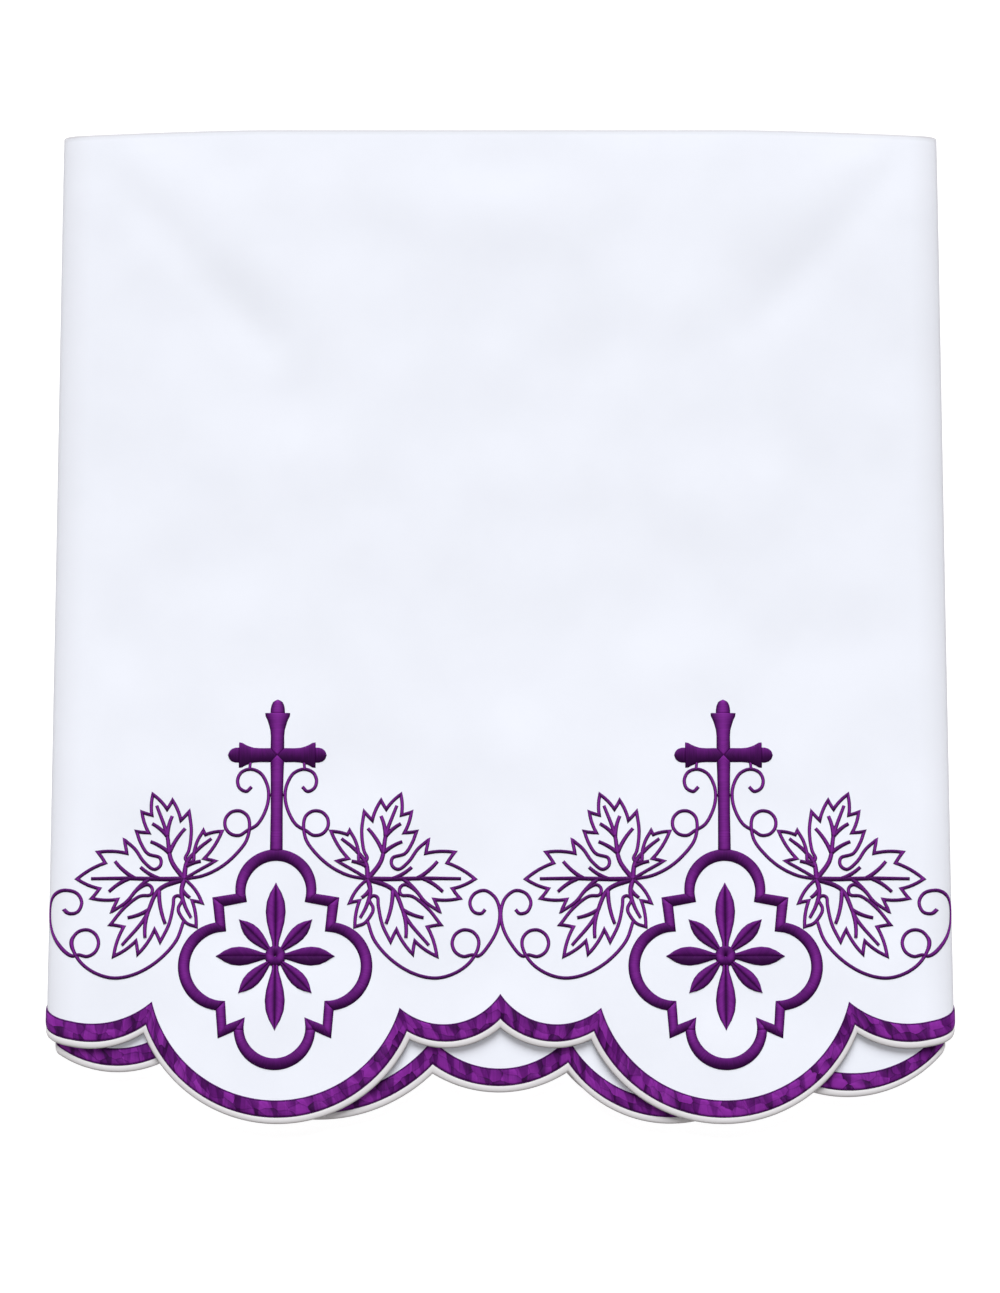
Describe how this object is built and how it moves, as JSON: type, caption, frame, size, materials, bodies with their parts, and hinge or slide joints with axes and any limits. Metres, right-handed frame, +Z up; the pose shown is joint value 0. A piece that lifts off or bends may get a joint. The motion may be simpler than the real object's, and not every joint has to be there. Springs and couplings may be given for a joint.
{
  "type": "folded altar cloth",
  "caption": "Altar cloth folded into a flat pack, with a scalloped satin-stitched hem, crosses and lobed frames embroidered above it.",
  "frame": {"origin": "centre of the pack's outline, on the surface that it lies on", "axes": "+Z up, out of the embroidered face; +Y towards the folded top edge; +X to the right of a viewer who sees the hem below"},
  "size_m": [0.7212, 0.8062, 0.0188],
  "materials": {
    "white_cloth": "smooth, fine plain weave, matt",
    "purple_border": "satin stitch in short blocks, lustrous",
    "white_cord": "dense corded stitch",
    "purple_motif": "raised satin stitch, lustrous"
  },
  "bodies": {
    "root": {"altar_cloth": "white_cloth", "border_front": "purple_border", "border_back": "purple_border", "edging_front": "white_cord", "edging_back": "white_cord", "cross_left": "purple_motif", "cross_right": "purple_motif", "medallion_left": "purple_motif", "medallion_right": "purple_motif", "ornament_left": "purple_motif", "ornament_right": "purple_motif"}
  },
  "joints": []
}
